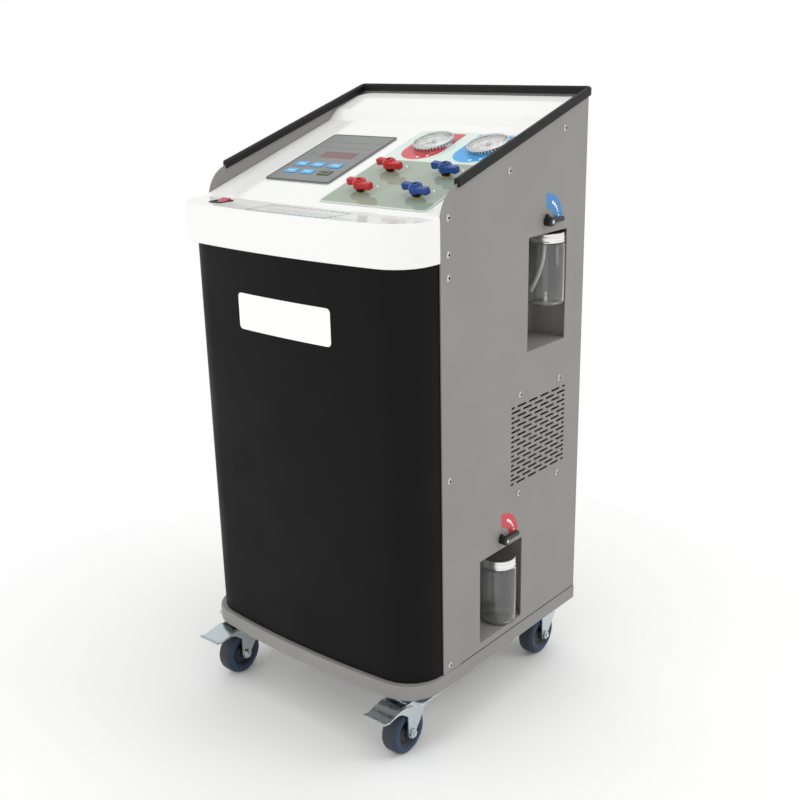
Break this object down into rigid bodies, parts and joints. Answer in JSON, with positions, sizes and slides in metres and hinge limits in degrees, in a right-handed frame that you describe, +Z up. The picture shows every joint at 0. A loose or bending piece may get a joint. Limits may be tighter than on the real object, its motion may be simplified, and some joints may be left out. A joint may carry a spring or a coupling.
{
  "type": "refrigerant recovery machine",
  "caption": "Wheeled cabinet for recovering refrigerant, with a sloping top of valves, gauges and keys, and oil jars in its side",
  "frame": {"origin": "On the floor under the middle of the bounding box of the whole machine", "axes": "+Z up, the keys and the front panel face -Y, the oil jars are on the +X side"},
  "size_m": [0.5182, 0.539, 1.0462],
  "materials": {
    "grey_powder": "satin",
    "black_paint": "satin",
    "dark_paint": "satin",
    "white_abs": "gloss",
    "edge_rubber": "matte",
    "keypad_film": "satin",
    "window_plastic": "gloss",
    "blue_key_film": "satin",
    "green_key_film": "satin",
    "black_plastic": "satin",
    "red_plastic": "gloss",
    "plate_film": "gloss",
    "brass_block": "satin",
    "red_enamel": "gloss",
    "blue_enamel": "gloss",
    "gauge_chrome": "mirror",
    "needle_paint": "matte",
    "gauge_glass": "clear",
    "jar_clear": "clear",
    "lid_aluminium": "satin",
    "clear_hose": "clear",
    "zinc_steel": "satin",
    "wheel_rubber": "satin",
    "tank_paint": "satin",
    "motor_paint": "satin",
    "coil_fins": "satin"
  },
  "bodies": {
    "cabinet": {"base_tray": "grey_powder", "compressor": "motor_paint", "condenser": "coil_fins", "dip_tube": "clear_hose", "display_window": "window_plastic", "edge_trim": "edge_rubber", "front_left_caster_plate": "zinc_steel", "front_panel": "black_paint", "front_right_caster_plate": "zinc_steel", "gauge_case_left": "gauge_chrome", "gauge_case_right": "gauge_chrome", "gauge_glass_left": "gauge_glass", "gauge_glass_right": "gauge_glass", "hood": "white_abs", "hose_union_left": "brass_block", "hose_union_right": "brass_block", "jar_bay_lower": "dark_paint", "jar_bay_upper": "dark_paint", "jar_lid_upper": "lid_aluminium", "keypad_bezel": "keypad_film", "manifold_block": "brass_block", "power_inlet": "black_plastic", "rear_left_caster_plate": "zinc_steel", "rear_panel": "grey_powder", "rear_right_caster_plate": "zinc_steel", "refrigerant_tank": "tank_paint", "rocker_frame": "black_plastic", "side_panel_left": "grey_powder", "side_panel_right": "grey_powder", "vacuum_pump": "motor_paint", "valve_plate": "plate_film"},
    "valve_handle_left_lower": {"valve_handle_left_lower": "red_enamel"},
    "valve_handle_left_upper": {"valve_handle_left_upper": "red_enamel"},
    "valve_handle_right_lower": {"valve_handle_right_lower": "blue_enamel"},
    "valve_handle_right_upper": {"valve_handle_right_upper": "blue_enamel"},
    "oil_knob_upper": {"oil_knob_upper": "black_plastic"},
    "oil_knob_lower": {"oil_knob_lower": "black_plastic"},
    "rocker_cap": {"rocker_cap": "red_plastic"},
    "key_1": {"key_1": "blue_key_film"},
    "key_2": {"key_2": "blue_key_film"},
    "key_3": {"key_3": "blue_key_film"},
    "key_4": {"key_4": "blue_key_film"},
    "key_5": {"key_5": "blue_key_film"},
    "key_6": {"key_6": "green_key_film"},
    "gauge_needle_left": {"gauge_needle_left": "needle_paint"},
    "gauge_needle_right": {"gauge_needle_right": "needle_paint"},
    "oil_jar_upper": {"oil_jar_upper": "jar_clear"},
    "oil_jar_lower": {"oil_jar_lower": "jar_clear"},
    "jar_lid_lower": {"jar_lid_lower": "lid_aluminium"},
    "front_left_fork": {"front_left_caster_fork": "zinc_steel"},
    "front_left_wheel": {"front_left_wheel": "wheel_rubber"},
    "front_left_pedal": {"front_left_brake_pedal": "zinc_steel"},
    "front_right_fork": {"front_right_caster_fork": "zinc_steel"},
    "front_right_wheel": {"front_right_wheel": "wheel_rubber"},
    "front_right_pedal": {"front_right_brake_pedal": "zinc_steel"},
    "rear_left_fork": {"rear_left_caster_fork": "zinc_steel"},
    "rear_left_wheel": {"rear_left_wheel": "wheel_rubber"},
    "rear_right_fork": {"rear_right_caster_fork": "zinc_steel"},
    "rear_right_wheel": {"rear_right_wheel": "wheel_rubber"},
    "cooling_fan": {"cooling_fan": "black_plastic"}
  },
  "joints": [
    {"name": "valve_handle_left_lower_turn", "type": "hinge", "parent": "cabinet", "child": "valve_handle_left_lower", "pos_m": [0.05286, -0.10367, 0.90853], "axis": [0, -0.3134, 0.9496], "range_deg": [-90, 0]},
    {"name": "valve_handle_left_upper_turn", "type": "hinge", "parent": "cabinet", "child": "valve_handle_left_upper", "pos_m": [0.05286, -0.03168, 0.93229], "axis": [0, -0.3134, 0.9496], "range_deg": [-90, 0]},
    {"name": "valve_handle_right_lower_turn", "type": "hinge", "parent": "cabinet", "child": "valve_handle_right_lower", "pos_m": [0.16486, -0.10367, 0.90853], "axis": [0, -0.3134, 0.9496], "range_deg": [-90, 0]},
    {"name": "valve_handle_right_upper_turn", "type": "hinge", "parent": "cabinet", "child": "valve_handle_right_upper", "pos_m": [0.16486, -0.03168, 0.93229], "axis": [0, -0.3134, 0.9496], "range_deg": [-90, 0]},
    {"name": "oil_knob_upper_turn", "type": "hinge", "parent": "cabinet", "child": "oil_knob_upper", "pos_m": [0.24515, 0.1285, 0.841], "axis": [1, 0, 0], "range_deg": [0, 90]},
    {"name": "oil_knob_lower_turn", "type": "hinge", "parent": "cabinet", "child": "oil_knob_lower", "pos_m": [0.24515, 0.0095, 0.3205], "axis": [1, 0, 0], "range_deg": [0, 90]},
    {"name": "rocker_tilt", "type": "hinge", "parent": "cabinet", "child": "rocker_cap", "pos_m": [-0.17115, -0.1945, 0.8785], "axis": [1, 0, 0], "range_deg": [-28, 0]},
    {"name": "key_1_press", "type": "slide", "parent": "cabinet", "child": "key_1", "axis": [0, 0.3134, -0.9496], "range_m": [0, 0.0008], "stiffness_N_per_m": 800},
    {"name": "key_2_press", "type": "slide", "parent": "cabinet", "child": "key_2", "axis": [0, 0.3134, -0.9496], "range_m": [0, 0.0008], "stiffness_N_per_m": 800},
    {"name": "key_3_press", "type": "slide", "parent": "cabinet", "child": "key_3", "axis": [0, 0.3134, -0.9496], "range_m": [0, 0.0008], "stiffness_N_per_m": 800},
    {"name": "key_4_press", "type": "slide", "parent": "cabinet", "child": "key_4", "axis": [0, 0.3134, -0.9496], "range_m": [0, 0.0008], "stiffness_N_per_m": 800},
    {"name": "key_5_press", "type": "slide", "parent": "cabinet", "child": "key_5", "axis": [0, 0.3134, -0.9496], "range_m": [0, 0.0008], "stiffness_N_per_m": 800},
    {"name": "key_6_press", "type": "slide", "parent": "cabinet", "child": "key_6", "axis": [0, 0.3134, -0.9496], "range_m": [0, 0.0008], "stiffness_N_per_m": 800},
    {"name": "gauge_needle_left_swing", "type": "hinge", "parent": "cabinet", "child": "gauge_needle_left", "pos_m": [0.06086, 0.06898, 0.96709], "axis": [0, 0.3134, -0.9496], "range_deg": [0, 270]},
    {"name": "gauge_needle_right_swing", "type": "hinge", "parent": "cabinet", "child": "gauge_needle_right", "pos_m": [0.17086, 0.06898, 0.96709], "axis": [0, 0.3134, -0.9496], "range_deg": [0, 270]},
    {"name": "upper_jar_unscrew", "type": "hinge", "parent": "cabinet", "child": "oil_jar_upper", "pos_m": [0.21885, 0.1725, 0.8], "axis": [0, 0, 1], "continuous": true},
    {"name": "lower_jar_draw", "type": "slide", "parent": "cabinet", "child": "oil_jar_lower", "axis": [1, 0, 0], "range_m": [0, 0.1]},
    {"name": "lower_lid_unscrew", "type": "hinge", "parent": "oil_jar_lower", "child": "jar_lid_lower", "pos_m": [0.21885, 0.04, 0.2553], "axis": [0, 0, 1], "continuous": true},
    {"name": "front_left_swivel", "type": "hinge", "parent": "cabinet", "child": "front_left_fork", "pos_m": [-0.20515, -0.1705, 0.108], "axis": [0, 0, 1], "continuous": true},
    {"name": "front_left_roll", "type": "hinge", "parent": "front_left_fork", "child": "front_left_wheel", "pos_m": [-0.20515, -0.1985, 0.04], "axis": [1, 0, 0], "continuous": true},
    {"name": "front_left_brake", "type": "hinge", "parent": "front_left_fork", "child": "front_left_pedal", "pos_m": [-0.20515, -0.2125, 0.088], "axis": [1, 0, 0], "range_deg": [0, 12]},
    {"name": "front_right_swivel", "type": "hinge", "parent": "cabinet", "child": "front_right_fork", "pos_m": [0.19485, -0.1705, 0.108], "axis": [0, 0, 1], "continuous": true},
    {"name": "front_right_roll", "type": "hinge", "parent": "front_right_fork", "child": "front_right_wheel", "pos_m": [0.19485, -0.1985, 0.04], "axis": [1, 0, 0], "continuous": true},
    {"name": "front_right_brake", "type": "hinge", "parent": "front_right_fork", "child": "front_right_pedal", "pos_m": [0.19485, -0.2125, 0.088], "axis": [1, 0, 0], "range_deg": [0, 12]},
    {"name": "rear_left_swivel", "type": "hinge", "parent": "cabinet", "child": "rear_left_fork", "pos_m": [-0.20515, 0.2285, 0.108], "axis": [0, 0, 1], "continuous": true},
    {"name": "rear_left_roll", "type": "hinge", "parent": "rear_left_fork", "child": "rear_left_wheel", "pos_m": [-0.20515, 0.2005, 0.04], "axis": [1, 0, 0], "continuous": true},
    {"name": "rear_right_swivel", "type": "hinge", "parent": "cabinet", "child": "rear_right_fork", "pos_m": [0.19485, 0.2285, 0.108], "axis": [0, 0, 1], "continuous": true},
    {"name": "rear_right_roll", "type": "hinge", "parent": "rear_right_fork", "child": "rear_right_wheel", "pos_m": [0.19485, 0.2005, 0.04], "axis": [1, 0, 0], "continuous": true},
    {"name": "fan_spin", "type": "hinge", "parent": "cabinet", "child": "cooling_fan", "pos_m": [0.21255, 0.1185, 0.4769], "axis": [1, 0, 0], "continuous": true}
  ]
}
